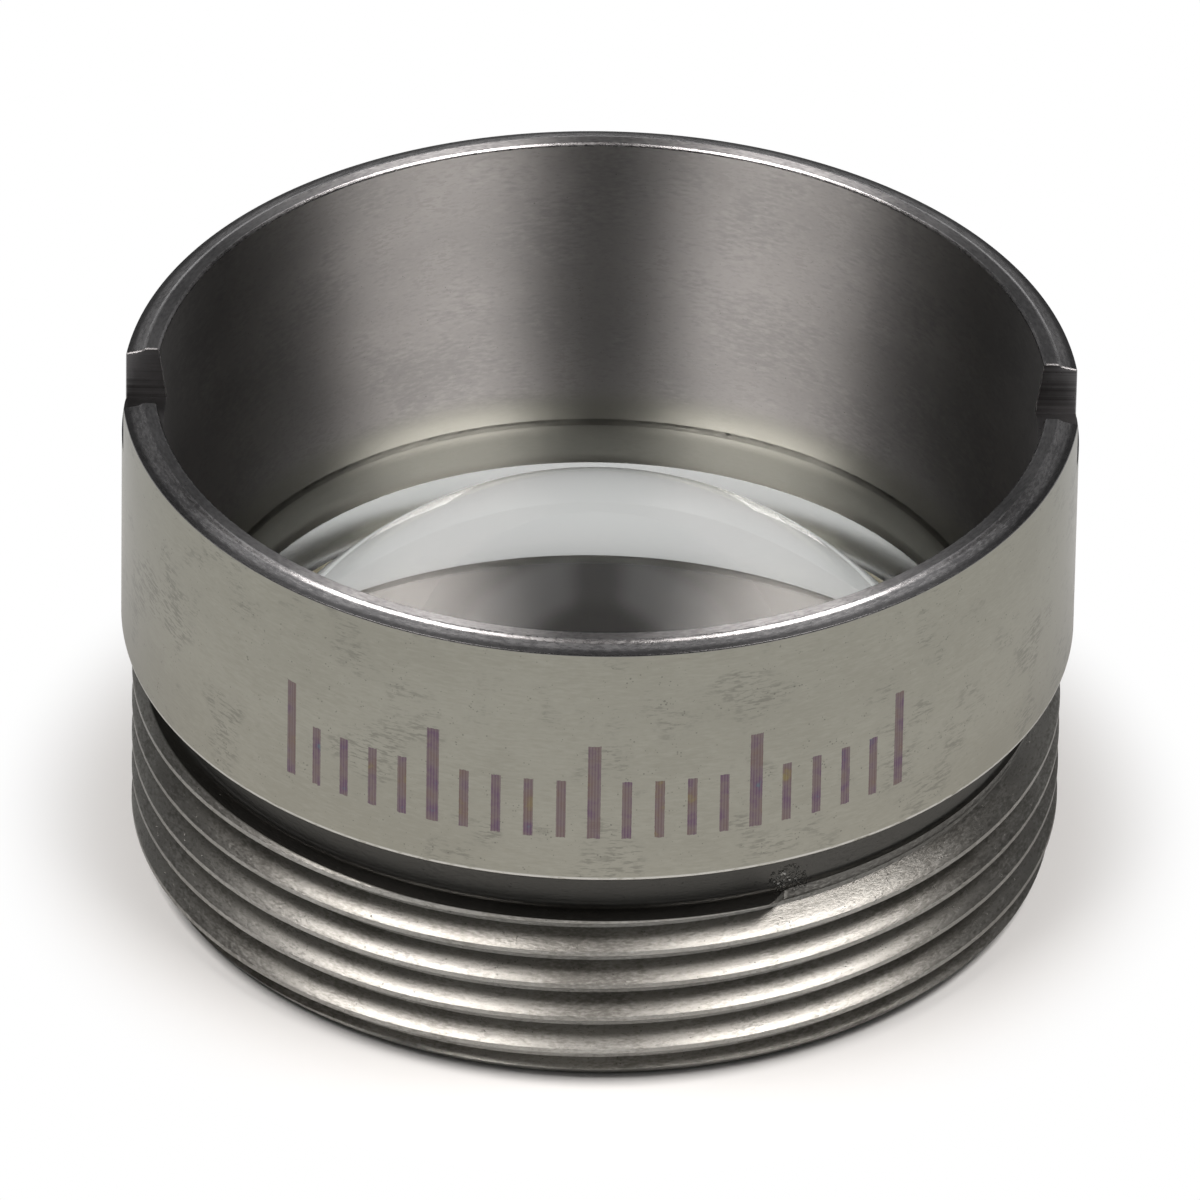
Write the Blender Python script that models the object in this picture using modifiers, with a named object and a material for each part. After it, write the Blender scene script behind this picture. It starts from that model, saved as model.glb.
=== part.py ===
"""Aspheric lens bonded into a threaded steel housing.

Units are metres and +Z is up. The origin is the centre of the threaded end face, so the
housing stands on z = 0 with its thread below, its smooth band above and its two spanner
slots in the rim, on +X and -X. The lens sits dome upwards on a ledge inside.
"""

import math

import bmesh
import bpy

MM = 0.001

# Lens: the sizes that the housing is built around
LENS_DIAMETER = 9.94 * MM
LENS_EDGE_THICKNESS = 1.94 * MM
FLANGE_WIDTH = 0.72 * MM
DOME_VERTEX_RADIUS = 4.58 * MM
DOME_CONIC = -0.55
FLANGE_EDGE_BREAK = 0.06 * MM
UNDERSIDE_HOLLOW_RADIUS = 52.0 * MM
UNDERSIDE_BEVEL = 0.22 * MM
FOOT_WIDTH = 0.30 * MM

# Fits between the lens, the adhesive and the housing
BOND_LINE = 0.02 * MM
BEAD_SKIN = 0.01 * MM

# Housing heights, from the end face upwards
APERTURE_LENGTH = 0.40 * MM
THREADED_LENGTH = 2.56 * MM
RELIEF_WIDTH = 0.69 * MM
BAND_HEIGHT = 3.53 * MM
LENS_RECESS = 0.48 * MM

# Housing walls, from the lens outwards
SEAT_LEDGE_WIDTH = 0.60 * MM
WALL_UNDER_THREAD = 0.70 * MM
BAND_STEP = 0.143 * MM
RIM_WALL = 0.43 * MM
LEAD_IN_WIDTH = 0.20 * MM

# Thread, fine metric form: 60 degree flanks
THREAD_PITCH = 0.50 * MM
FLANK_ANGLE = math.radians(30.0)
CREST_FLAT_SHARE = 0.17
ROOT_FLAT_SHARE = 1.0 / 6.0
RUN_OUT_ANGLE = math.radians(-11.3)
RELIEF_BELOW_ROOT = 0.02 * MM
END_CHAMFER_BELOW_ROOT = 0.03 * MM

# Edges and slots
RIM_BEVEL_WIDTH = 0.19 * MM
RIM_BEVEL_DROP = 0.095 * MM
RIM_INNER_BREAK = 0.03 * MM
BAND_EDGE_BREAK = 0.04 * MM
APERTURE_EDGE_BREAK = 0.05 * MM
RELIEF_CORNER_RADIUS = 0.08 * MM
SLOT_WIDTH = 1.26 * MM
SLOT_DEPTH = 0.75 * MM

# Smoothness of the turned shapes
TURN_STEPS = 80
DOME_RINGS = 11
HOLLOW_RINGS = 4
CORNER_STEPS = 3
SHARP_ANGLE = math.radians(25.0)

# Cutters run this far past the metal that they remove
CUTTER_OVERRUN = 0.03 * MM
SLOT_OVERRUN = 1.0 * MM
MERGE_DISTANCE = 0.00001 * MM

# Radii worked out from the lens outwards
LENS_RADIUS = LENS_DIAMETER / 2.0
DOME_EDGE_RADIUS = LENS_RADIUS - FLANGE_WIDTH
HOLLOW_EDGE_RADIUS = LENS_RADIUS - UNDERSIDE_BEVEL - FOOT_WIDTH
APERTURE_RADIUS = LENS_RADIUS - SEAT_LEDGE_WIDTH
SEAT_BORE_RADIUS = LENS_RADIUS + BOND_LINE
CUP_FLOOR_RADIUS = SEAT_BORE_RADIUS + LEAD_IN_WIDTH
THREAD_DEPTH = (
    (1.0 - CREST_FLAT_SHARE - ROOT_FLAT_SHARE) * THREAD_PITCH / 2.0 / math.tan(FLANK_ANGLE)
)
THREAD_ROOT_RADIUS = SEAT_BORE_RADIUS + WALL_UNDER_THREAD
THREAD_CREST_RADIUS = THREAD_ROOT_RADIUS + THREAD_DEPTH
RELIEF_RADIUS = THREAD_ROOT_RADIUS - RELIEF_BELOW_ROOT
BAND_RADIUS = THREAD_CREST_RADIUS + BAND_STEP
CUP_MOUTH_RADIUS = BAND_RADIUS - RIM_WALL
END_CHAMFER = THREAD_DEPTH + END_CHAMFER_BELOW_ROOT

# Heights worked out from the end face upwards
SHOULDER_HEIGHT = THREADED_LENGTH + RELIEF_WIDTH
RIM_HEIGHT = SHOULDER_HEIGHT + BAND_HEIGHT
SEAT_BORE_TOP = APERTURE_LENGTH + LENS_EDGE_THICKNESS + LENS_RECESS
CUP_FLOOR_HEIGHT = SEAT_BORE_TOP + LEAD_IN_WIDTH

NAME = "mounted_aspheric_lens"


def clear_scene():
    """Remove every object, so that the script can be run again."""
    for old in list(bpy.data.objects):
        bpy.data.objects.remove(old, do_unlink=True)


def make_collection(name):
    """Make an empty collection of this name under the scene's own."""
    old = bpy.data.collections.get(name)
    if old is not None:
        bpy.data.collections.remove(old)
    collection = bpy.data.collections.new(name)
    bpy.context.scene.collection.children.link(collection)
    return collection


def make_material(name, colour, metallic, roughness, transmission=0.0, ior=1.5):
    """Make a plain Principled material."""
    material = bpy.data.materials.new(name)
    material.use_nodes = True
    shader = material.node_tree.nodes["Principled BSDF"]
    shader.inputs["Base Color"].default_value = (*colour, 1.0)
    shader.inputs["Metallic"].default_value = metallic
    shader.inputs["Roughness"].default_value = roughness
    shader.inputs["Transmission Weight"].default_value = transmission
    shader.inputs["IOR"].default_value = ior
    material.diffuse_color = (*colour, 1.0)
    return material


def corner(inner_r, inner_z, radius, start, end):
    """Points of a rounded corner, an arc about (inner_r, inner_z) from start to end degrees."""
    points = []
    for step in range(CORNER_STEPS + 1):
        angle = math.radians(start + (end - start) * step / CORNER_STEPS)
        points.append((inner_r + radius * math.cos(angle), inner_z + radius * math.sin(angle)))
    return points


def turned_object(name, profile, closed, collection):
    """Turn a profile of (radius, height) points about Z with a Screw modifier."""
    mesh = bpy.data.meshes.new(name)
    edges = [(i, i + 1) for i in range(len(profile) - 1)]
    if closed:
        edges.append((len(profile) - 1, 0))
    mesh.from_pydata([(r, 0.0, z) for r, z in profile], edges, [])
    turned = bpy.data.objects.new(name, mesh)
    collection.objects.link(turned)
    screw = turned.modifiers.new("turn", "SCREW")
    screw.axis = "Z"
    screw.angle = math.tau
    screw.steps = TURN_STEPS
    screw.render_steps = TURN_STEPS
    screw.use_merge_vertices = True
    screw.merge_threshold = MERGE_DISTANCE
    screw.use_smooth_shade = True
    return turned


def cut(target, cutter, name):
    """Subtract a cutter from a target with an exact Boolean modifier."""
    boolean = target.modifiers.new(name, "BOOLEAN")
    boolean.operation = "DIFFERENCE"
    boolean.solver = "EXACT"
    boolean.object = cutter
    cutter.hide_render = True
    cutter.display_type = "WIRE"


def freeze(obj):
    """Turn an object's evaluated shape into its own plain mesh."""
    depsgraph = bpy.context.evaluated_depsgraph_get()
    mesh = bpy.data.meshes.new_from_object(obj.evaluated_get(depsgraph))
    mesh.name = obj.name
    obj.modifiers.clear()
    obj.data = mesh


def finish(obj, material):
    """Freeze a piece, shade it smooth between its sharp edges and give it its material."""
    freeze(obj)
    obj.data.shade_smooth()
    obj.data.set_sharp_from_angle(angle=SHARP_ANGLE)
    obj.data.materials.clear()
    obj.data.materials.append(material)


def housing_profile():
    """Section of the turned housing: down the outside, then up the inside."""
    outer_corner_z = SHOULDER_HEIGHT - RELIEF_CORNER_RADIUS
    lower_corner_z = THREADED_LENGTH + RELIEF_CORNER_RADIUS
    corner_r = RELIEF_RADIUS + RELIEF_CORNER_RADIUS
    outside = [
        (BAND_RADIUS - RIM_BEVEL_WIDTH, RIM_HEIGHT),
        (BAND_RADIUS, RIM_HEIGHT - RIM_BEVEL_DROP),
        (BAND_RADIUS, SHOULDER_HEIGHT + BAND_EDGE_BREAK),
        (BAND_RADIUS - BAND_EDGE_BREAK, SHOULDER_HEIGHT),
        *corner(corner_r, outer_corner_z, RELIEF_CORNER_RADIUS, 90.0, 180.0),
        *corner(corner_r, lower_corner_z, RELIEF_CORNER_RADIUS, 180.0, 270.0),
        (THREAD_CREST_RADIUS, THREADED_LENGTH),
        (THREAD_CREST_RADIUS, END_CHAMFER),
        (THREAD_CREST_RADIUS - END_CHAMFER, 0.0),
    ]
    inside = [
        (APERTURE_RADIUS + APERTURE_EDGE_BREAK, 0.0),
        (APERTURE_RADIUS, APERTURE_EDGE_BREAK),
        (APERTURE_RADIUS, APERTURE_LENGTH),
        (SEAT_BORE_RADIUS, APERTURE_LENGTH),
        (SEAT_BORE_RADIUS, SEAT_BORE_TOP),
        (CUP_FLOOR_RADIUS, CUP_FLOOR_HEIGHT),
        (CUP_MOUTH_RADIUS, RIM_HEIGHT - RIM_INNER_BREAK),
        (CUP_MOUTH_RADIUS + RIM_INNER_BREAK, RIM_HEIGHT),
    ]
    return outside + inside


def thread_cutter(collection):
    """The helical groove of the thread, which starts below the end face and runs out in the relief.

    Its section is the gap between two crests, carried a little past the crest so that no face
    of the cutter lies on a face of the housing. Its steps lie midway between the housing's.
    """
    end_height = THREADED_LENGTH + RELIEF_WIDTH / 2.0
    steps = math.ceil((end_height / THREAD_PITCH + 1.0) * TURN_STEPS)
    turns = steps / TURN_STEPS
    start_height = end_height - turns * THREAD_PITCH
    step_angle = math.tau / TURN_STEPS
    end_angle = (math.floor(RUN_OUT_ANGLE / step_angle) + 0.5) * step_angle
    root_half = ROOT_FLAT_SHARE * THREAD_PITCH / 2.0
    mouth_radius = THREAD_CREST_RADIUS + CUTTER_OVERRUN
    mouth_half = root_half + (THREAD_DEPTH + CUTTER_OVERRUN) * math.tan(FLANK_ANGLE)
    section = [
        (mouth_radius, start_height + mouth_half),
        (mouth_radius, start_height - mouth_half),
        (THREAD_ROOT_RADIUS, start_height - root_half),
        (THREAD_ROOT_RADIUS, start_height + root_half),
    ]
    cutter = turned_object("thread_groove", section, True, collection)
    screw = cutter.modifiers["turn"]
    screw.angle = math.tau * turns
    screw.screw_offset = THREAD_PITCH * turns
    screw.steps = steps
    screw.render_steps = steps
    screw.use_merge_vertices = False
    freeze(cutter)
    mesh = bmesh.new()
    mesh.from_mesh(cutter.data)
    bmesh.ops.holes_fill(mesh, edges=mesh.edges[:], sides=len(section))
    bmesh.ops.recalc_face_normals(mesh, faces=mesh.faces[:])
    mesh.to_mesh(cutter.data)
    mesh.free()
    cutter.rotation_euler.z = end_angle - math.tau * turns
    return cutter


def slot_cutter(collection):
    """One bar across the rim, which cuts both spanner slots in a single pass."""
    height = SLOT_DEPTH + SLOT_OVERRUN
    length = 2.0 * (BAND_RADIUS + SLOT_OVERRUN)
    bpy.ops.mesh.primitive_cube_add(size=1.0)
    cutter = bpy.context.object
    cutter.name = "spanner_slots"
    for owner in list(cutter.users_collection):
        owner.objects.unlink(cutter)
    collection.objects.link(cutter)
    cutter.scale = (length, SLOT_WIDTH, height)
    cutter.location.z = RIM_HEIGHT - SLOT_DEPTH + height / 2.0
    return cutter


def make_housing(parts, cutters):
    """The housing: one turned piece, then slotted and threaded."""
    housing = turned_object("housing", housing_profile(), True, parts)
    cut(housing, slot_cutter(cutters), "spanner slots")
    cut(housing, thread_cutter(cutters), "thread")
    bpy.context.view_layer.update()
    finish(housing, make_material("stainless_steel", (0.46, 0.45, 0.42), 1.0, 0.32))
    return housing


def dome_height(radius):
    """Sag of the conic at a radius, measured down from the dome's vertex."""
    curve = (1.0 + DOME_CONIC) * (radius / DOME_VERTEX_RADIUS) ** 2
    return radius ** 2 / (DOME_VERTEX_RADIUS * (1.0 + math.sqrt(1.0 - curve)))


def hollow_height(radius):
    """Height of the shallow hollow under the lens, above its foot, at a radius."""
    centre_drop = math.sqrt(UNDERSIDE_HOLLOW_RADIUS ** 2 - HOLLOW_EDGE_RADIUS ** 2)
    return math.sqrt(UNDERSIDE_HOLLOW_RADIUS ** 2 - radius ** 2) - centre_drop


def lens_profile():
    """Section of the lens from the vertex, over the dome and flange, to the hollow underneath."""
    vertex_height = LENS_EDGE_THICKNESS + dome_height(DOME_EDGE_RADIUS)
    dome = []
    for ring in range(DOME_RINGS + 1):
        radius = DOME_EDGE_RADIUS * ring / DOME_RINGS
        dome.append((radius, vertex_height - dome_height(radius)))
    rim = [
        (LENS_RADIUS - FLANGE_EDGE_BREAK, LENS_EDGE_THICKNESS),
        (LENS_RADIUS, LENS_EDGE_THICKNESS - FLANGE_EDGE_BREAK),
        (LENS_RADIUS, UNDERSIDE_BEVEL),
        (LENS_RADIUS - UNDERSIDE_BEVEL, 0.0),
    ]
    hollow = []
    for ring in range(HOLLOW_RINGS, -1, -1):
        radius = HOLLOW_EDGE_RADIUS * ring / HOLLOW_RINGS
        hollow.append((radius, hollow_height(radius)))
    return dome + rim + hollow


def make_lens(parts):
    """The moulded glass lens, with the foot of its underside on the housing's ledge."""
    lens = turned_object("aspheric_lens", lens_profile(), False, parts)
    lens.location.z = APERTURE_LENGTH
    bpy.context.view_layer.update()
    finish(lens, make_material("optical_glass", (0.93, 0.96, 0.94), 0.0, 0.02, 1.0, 1.589))
    return lens


def make_adhesive(parts):
    """The cured ring of adhesive in the corner under the lens bevel."""
    wall = SEAT_BORE_RADIUS - BEAD_SKIN
    bevel_foot = LENS_RADIUS - UNDERSIDE_BEVEL + BEAD_SKIN * (1.0 + math.sqrt(2.0))
    side = wall - bevel_foot
    section = [
        (wall, BEAD_SKIN + side),
        (wall, BEAD_SKIN),
        (bevel_foot, BEAD_SKIN),
    ]
    adhesive = turned_object("adhesive_bead", section, True, parts)
    adhesive.location.z = APERTURE_LENGTH
    bpy.context.view_layer.update()
    finish(adhesive, make_material("cured_adhesive", (0.78, 0.74, 0.60), 0.0, 0.35))
    return adhesive


def main():
    """Build the three pieces and hang them on one empty at the origin."""
    clear_scene()
    parts = make_collection(NAME)
    cutters = make_collection(NAME + "_cutters")
    frame = bpy.data.objects.new("end_face_centre", None)
    frame.empty_display_size = LENS_RADIUS
    parts.objects.link(frame)
    pieces = [make_housing(parts, cutters), make_lens(parts), make_adhesive(parts)]
    for piece in pieces:
        piece.parent = frame


main()
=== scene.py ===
"""Looks of the mounted aspheric lens: a moulded glass lens in a threaded, slotted steel housing.

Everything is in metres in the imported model's own frame: the housing stands on z = 0 with its
thread below and its slotted rim above, and the lens axis is Z.
"""

import logging
import math
from dataclasses import dataclass, field
from enum import Enum
from typing import Iterable, Sequence, Union

import bpy
import bmesh
import numpy as np
from mathutils import Matrix, Vector

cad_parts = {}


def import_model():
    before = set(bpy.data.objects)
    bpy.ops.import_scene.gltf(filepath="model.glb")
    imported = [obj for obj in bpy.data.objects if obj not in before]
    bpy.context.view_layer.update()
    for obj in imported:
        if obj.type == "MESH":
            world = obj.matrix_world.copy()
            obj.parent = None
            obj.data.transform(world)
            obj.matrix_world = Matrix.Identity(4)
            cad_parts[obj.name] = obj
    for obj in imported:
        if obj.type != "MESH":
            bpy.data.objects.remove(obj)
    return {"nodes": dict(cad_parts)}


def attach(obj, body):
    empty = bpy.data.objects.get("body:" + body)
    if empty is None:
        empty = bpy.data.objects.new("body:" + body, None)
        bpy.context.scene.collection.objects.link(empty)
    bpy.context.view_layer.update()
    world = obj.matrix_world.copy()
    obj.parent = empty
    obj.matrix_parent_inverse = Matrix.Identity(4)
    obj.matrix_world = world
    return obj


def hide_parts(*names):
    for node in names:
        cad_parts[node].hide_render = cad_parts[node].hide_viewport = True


MM = 0.001
WELD = 2.0e-7
BODY = "root"
SHARP_ANGLE = math.radians(28.0)
GUARD_SHARE = 0.5
AXIS_GUARD = 1.0e-6
EDGE_TINT = (0.75, 0.75, 0.75)
# The greener grey of the painted shade at the cup's foot.
FOOT_SHADE_TONE = (0.300, 0.300, 0.262)
# Pale colour of the painted highlight along the band's lower lip.
LIP_HIGHLIGHT = (0.50, 0.49, 0.46)
LINE_SHARE = 0.70
# Share of the dark colour in the tone of pits and stains, which the painted shade also uses.
PIT_AND_SHADE_TONE = 0.35
PIT_SHARE = 0.55
PIT_DEPTH = 0.5
LOG = logging.getLogger("mounted_aspheric_lens")

Number = Union["Field", float]
Point = tuple[float, float]


class Slot(Enum):
    """The record's material slots."""

    STEEL = "stainless_steel"
    GLASS = "optical_glass"
    ADHESIVE = "cured_adhesive"


# Node trees written as arithmetic


def feed(tree: bpy.types.NodeTree, value: Number, socket: bpy.types.NodeSocket) -> None:
    """Link a field to a socket, or set a plain number on it.

    Args:
        tree: The tree that holds the socket.
        value: A field of the same tree, or a number.
        socket: The input to feed.
    """
    if isinstance(value, Field):
        tree.links.new(value.socket, socket)
    else:
        socket.default_value = value


@dataclass(frozen=True)
class Field:
    """A value in a node tree, with which ordinary arithmetic can be written.

    Attributes:
        tree: The shader or geometry tree.
        socket: The output that carries the value.
    """

    tree: bpy.types.NodeTree
    socket: bpy.types.NodeSocket

    def maths(self, operation: str, *others: Number) -> "Field":
        """Add a Math node.

        Args:
            operation: The node's operation.
            others: Its second and third values.

        Returns:
            The node's result.
        """
        node = self.tree.nodes.new("ShaderNodeMath")
        node.operation = operation
        for place, value in enumerate((self, *others)):
            feed(self.tree, value, node.inputs[place])
        return Field(self.tree, node.outputs[0])

    def __add__(self, other: Number) -> "Field":
        """Sum."""
        return self.maths("ADD", other)

    def __sub__(self, other: Number) -> "Field":
        """Difference."""
        return self.maths("SUBTRACT", other)

    def __mul__(self, other: Number) -> "Field":
        """Product."""
        return self.maths("MULTIPLY", other)

    def __truediv__(self, other: Number) -> "Field":
        """Quotient."""
        return self.maths("DIVIDE", other)

    def least(self, other: Number) -> "Field":
        """The smaller of the two."""
        return self.maths("MINIMUM", other)

    def most(self, other: Number) -> "Field":
        """The larger of the two."""
        return self.maths("MAXIMUM", other)

    def within(self, low: Number, high: Number) -> "Field":
        """Held between two limits."""
        return self.most(low).least(high)

    def over(self, limit: Number) -> "Field":
        """One where the value is over the limit, else nought."""
        return self.maths("GREATER_THAN", limit)

    def ramp(self, low: float, high: float) -> "Field":
        """Rise smoothly from nought at low to one at high, or fall where high is the smaller.

        Args:
            low: Where the result is nought.
            high: Where the result is one.

        Returns:
            The smooth step.
        """
        node = self.tree.nodes.new("ShaderNodeMapRange")
        node.interpolation_type = "SMOOTHSTEP"
        falls = high < low
        feed(self.tree, self, node.inputs["Value"])
        node.inputs["From Min"].default_value = min(low, high)
        node.inputs["From Max"].default_value = max(low, high)
        node.inputs["To Min"].default_value = 1.0 if falls else 0.0
        node.inputs["To Max"].default_value = 0.0 if falls else 1.0
        return Field(self.tree, node.outputs["Result"])


def vector_of(tree: bpy.types.NodeTree, x: Number, y: Number, z: Number) -> Field:
    """Combine three values into a vector.

    Args:
        tree: The tree to add to.
        x: First value.
        y: Second value.
        z: Third value.

    Returns:
        The vector.
    """
    node = tree.nodes.new("ShaderNodeCombineXYZ")
    for place, value in enumerate((x, y, z)):
        feed(tree, value, node.inputs[place])
    return Field(tree, node.outputs[0])


def parts_of(tree: bpy.types.NodeTree, vector: Field) -> tuple[Field, Field, Field]:
    """Split a vector into its three values.

    Args:
        tree: The tree to add to.
        vector: The vector.

    Returns:
        Its x, y and z.
    """
    node = tree.nodes.new("ShaderNodeSeparateXYZ")
    tree.links.new(vector.socket, node.inputs[0])
    return tuple(Field(tree, node.outputs[place]) for place in range(3))


# Geometry trees


class GeometryRecipe:
    """A Geometry Nodes tree with named inputs, run once on an object and turned into a mesh."""

    def __init__(self, name: str) -> None:
        """Start an empty tree with its geometry sockets.

        Args:
            name: The tree's name.
        """
        self.tree = bpy.data.node_groups.new(name, "GeometryNodeTree")
        self.idents: dict[str, str] = {}
        self.add_input("Geometry", "NodeSocketGeometry")
        self.tree.interface.new_socket(
            "Geometry", in_out="OUTPUT", socket_type="NodeSocketGeometry"
        )
        self.source = self.tree.nodes.new("NodeGroupInput")
        self.sink = self.tree.nodes.new("NodeGroupOutput")

    def add_input(self, name: str, kind: str = "NodeSocketFloat") -> None:
        """Add a named input to the tree."""
        socket = self.tree.interface.new_socket(name, in_out="INPUT", socket_type=kind)
        self.idents[name] = socket.identifier

    def given(self, name: str) -> Field:
        """The value of a named input."""
        return Field(self.tree, self.source.outputs[name])

    def node(self, kind: str) -> bpy.types.Node:
        """Add a node of a kind."""
        return self.tree.nodes.new(kind)

    def link(self, start: bpy.types.NodeSocket, end: bpy.types.NodeSocket) -> None:
        """Join two sockets."""
        self.tree.links.new(start, end)

    def grid(self, columns: Number, rows: Number) -> tuple[bpy.types.NodeSocket, Field, Field]:
        """A sheet of vertices to be rolled up.

        Args:
            columns: Steps round the axis.
            rows: Vertices along the section.

        Returns:
            The sheet, and each vertex's column and row.
        """
        sheet = self.node("GeometryNodeMeshGrid")
        feed(self.tree, columns + 1.0, sheet.inputs["Vertices X"])
        feed(self.tree, rows, sheet.inputs["Vertices Y"])
        index = Field(self.tree, self.node("GeometryNodeInputIndex").outputs[0])
        column = (index / rows).maths("FLOOR")
        return sheet.outputs["Mesh"], column, index - column * rows

    def close(
        self, sheet: bpy.types.NodeSocket, radius: Field, angle: Field, height: Field
    ) -> None:
        """Roll the sheet about Z, weld it, realize it and give it its material.

        Args:
            sheet: The geometry to roll.
            radius: Each vertex's distance from the axis.
            angle: Its angle about the axis.
            height: Its height.
        """
        place = vector_of(
            self.tree,
            radius * angle.maths("COSINE"),
            radius * angle.maths("SINE"),
            height,
        )
        move = self.node("GeometryNodeSetPosition")
        self.link(sheet, move.inputs["Geometry"])
        self.link(place.socket, move.inputs["Position"])
        weld = self.node("GeometryNodeMergeByDistance")
        weld.inputs["Distance"].default_value = WELD
        self.link(move.outputs["Geometry"], weld.inputs["Geometry"])
        realize = self.node("GeometryNodeRealizeInstances")
        self.link(weld.outputs["Geometry"], realize.inputs["Geometry"])
        paint = self.node("GeometryNodeSetMaterial")
        self.link(realize.outputs["Geometry"], paint.inputs["Geometry"])
        self.link(self.source.outputs["Material"], paint.inputs["Material"])
        self.link(paint.outputs["Geometry"], self.sink.inputs[0])

    def run(self, name: str, base: bpy.types.Mesh, values: dict[str, object]) -> bpy.types.Mesh:
        """Run the tree on a mesh.

        Args:
            name: Name of the result.
            base: The mesh that the tree starts from.
            values: Values of the named inputs.

        Returns:
            The plain mesh.
        """
        holder = bpy.data.objects.new(name, base)
        bpy.context.scene.collection.objects.link(holder)
        modifier = holder.modifiers.new(name, "NODES")
        modifier.node_group = self.tree
        for label, value in values.items():
            modifier[self.idents[label]] = value
        bpy.context.view_layer.update()
        graph = bpy.context.evaluated_depsgraph_get()
        mesh = bpy.data.meshes.new_from_object(holder.evaluated_get(graph))
        mesh.name = name
        holder.modifiers.clear()
        bpy.data.objects.remove(holder, do_unlink=True)
        return mesh


class LatheRecipe(GeometryRecipe):
    """Turns a section about Z, and sags its dome and its hollow by the lens maker's rule."""

    def __init__(self) -> None:
        """Build the tree."""
        super().__init__("turned_section")
        self.add_input("Columns", "NodeSocketInt")
        for name in ("Dome Curvature", "Dome Conic", "Hollow Curvature"):
            self.add_input(name)
        self.add_input("Material", "NodeSocketMaterial")
        size = self.node("GeometryNodeAttributeDomainSize")
        self.link(self.source.outputs["Geometry"], size.inputs["Geometry"])
        rows = Field(self.tree, size.outputs["Point Count"])
        sheet, column, row = self.grid(self.given("Columns"), rows)
        place = self.node("GeometryNodeInputPosition")
        sample = self.node("GeometryNodeSampleIndex")
        sample.data_type = "FLOAT_VECTOR"
        self.link(self.source.outputs["Geometry"], sample.inputs["Geometry"])
        self.link(place.outputs[0], sample.inputs["Value"])
        self.link(row.socket, sample.inputs["Index"])
        radius, side, height = parts_of(self.tree, Field(self.tree, sample.outputs["Value"]))
        dome = self.sag(radius, self.given("Dome Curvature"), self.given("Dome Conic"))
        hollow = self.sag(radius, self.given("Hollow Curvature"), 0.0)
        height = height - dome * side.over(0.5) - hollow * (side * -1.0).over(0.5)
        angle = column / self.given("Columns") * math.tau
        self.close(sheet, radius, angle, height)

    @staticmethod
    def sag(radius: Field, curvature: Field, conic: Number) -> Field:
        """Fall of a conic surface below its vertex.

        Args:
            radius: Distance from the axis.
            curvature: One over the vertex radius.
            conic: The conic constant.

        Returns:
            The fall.
        """
        share = curvature * curvature * radius * radius
        if isinstance(conic, Field):
            share = share * (conic + 1.0)
        root = (share * -1.0 + 1.0).maths("SQRT")
        return curvature * radius * radius / (root + 1.0)


class ThreadRecipe(GeometryRecipe):
    """The threaded outside, whose rows climb with the helix from the end face to the relief."""

    def __init__(self) -> None:
        """Build the tree."""
        super().__init__("external_thread")
        for name in ("Columns", "Helix Rows", "Collar Rows", "Rows A Pitch"):
            self.add_input(name, "NodeSocketInt")
        for name in (
            "Pitch", "Groove Height", "Length", "Crest Radius", "Root Radius", "Root Half",
            "Flank Slope", "Chamfer", "Relief Radius", "Corner Radius", "Last Groove",
            "Ridge Radius", "Ridge End", "Ridge Taper",
        ):
            self.add_input(name)
        self.add_input("Material", "NodeSocketMaterial")
        get = self.given
        rows = get("Helix Rows") + get("Collar Rows")
        sheet, column, row = self.grid(get("Columns"), rows)
        turn = column / get("Columns")
        climb = turn * get("Pitch") + get("Groove Height")
        above = row - get("Helix Rows") + 1.0
        raw = (row / get("Rows A Pitch") - 1.0) * get("Pitch") + climb
        bend = (above.most(0.0) / get("Collar Rows")) * (math.pi / 2.0)
        rise = get("Corner Radius") * (bend.maths("COSINE") * -1.0 + 1.0)
        on_collar = above.over(0.5)
        height = raw.within(0.0, get("Length")) * (on_collar * -1.0 + 1.0)
        height = height + (get("Length") + rise) * on_collar
        cone = get("Crest Radius") - get("Chamfer") + height
        blank = cone.least(get("Crest Radius")) + on_collar * (
            get("Relief Radius")
            + get("Corner Radius") * (bend.maths("SINE") * -1.0 + 1.0)
            - get("Crest Radius")
        )
        phase = ((height - climb) / get("Pitch")).maths("FRACT")
        phase = (phase + 1.0).maths("FRACT")
        away = ((phase - 0.5).maths("ABSOLUTE") * -1.0 + 0.5) * get("Pitch")
        flank = ((away - get("Root Half")) * get("Flank Slope")).most(0.0)
        groove = (get("Root Radius") + flank).least(get("Crest Radius"))
        late = turn + (turn * -1.0 + 0.5).over(0.0)
        last = (late + get("Last Groove")) * get("Pitch") + get("Groove Height")
        torn = ((late - get("Ridge End")) / get("Ridge Taper")).within(0.0, 1.0)
        torn = torn * (height - last).over(0.0)
        limit = get("Crest Radius") - (get("Crest Radius") - get("Ridge Radius")) * torn
        self.close(sheet, blank.least(groove).least(limit), turn * math.tau, height)


# Shader groups


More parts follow.
